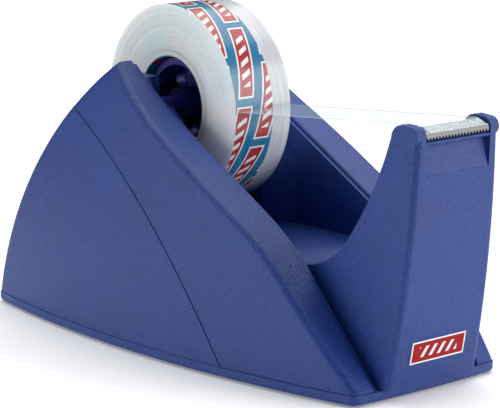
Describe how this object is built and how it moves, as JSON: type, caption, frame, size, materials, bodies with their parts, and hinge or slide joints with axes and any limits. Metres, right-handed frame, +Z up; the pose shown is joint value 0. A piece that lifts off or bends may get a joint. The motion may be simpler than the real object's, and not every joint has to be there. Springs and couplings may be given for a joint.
{
  "type": "tape dispenser",
  "caption": "Heavy desk tape dispenser: flared sails beside an open roll well, a hood behind, a serrated blade on a front tower, and a lift-out roll that spins.",
  "frame": {"origin": "on the table under the middle of the object's length", "axes": "+X towards the cutter, +Y towards the right flank, +Z up"},
  "size_m": [0.1541, 0.0704, 0.0892],
  "materials": {
    "body_plastic": "fine spark-eroded texture, satin",
    "pad_rubber": "matt",
    "ballast_iron": "rough cast",
    "screw_steel": "zinc plated",
    "blade_steel": "bright rolled",
    "label_paper": "printed film",
    "hub_plastic": "satin",
    "core_card": "coated card",
    "tape_film": "clear film wound tight",
    "tape_strip": "clear film"
  },
  "bodies": {
    "housing": {"base_plate": "body_plastic", "centre_body": "body_plastic", "left_side_shell": "body_plastic", "right_side_shell": "body_plastic", "rear_hood": "body_plastic", "pad_front_left": "pad_rubber", "pad_front_right": "pad_rubber", "pad_rear_left": "pad_rubber", "pad_rear_right": "pad_rubber", "ballast_block": "ballast_iron", "base_screws": "screw_steel", "ballast_screws": "screw_steel", "blade_holder": "body_plastic", "cutter_blade": "blade_steel", "front_label": "label_paper"},
    "tape_end": {"tape_tail": "tape_strip"},
    "roll": {"hub_left_half": "hub_plastic", "hub_right_half": "hub_plastic", "hub_rivets": "screw_steel", "tape_core": "core_card", "tape_winding": "tape_film"}
  },
  "joints": [
    {"name": "roll_lift", "type": "slide", "parent": "housing", "child": "tape_end", "axis": [0, 0, 1], "range_m": [0, 0.06]},
    {"name": "roll_spin", "type": "hinge", "parent": "tape_end", "child": "roll", "pos_m": [-0.0212, 0, 0.062], "axis": [0, 1, 0], "continuous": true}
  ]
}
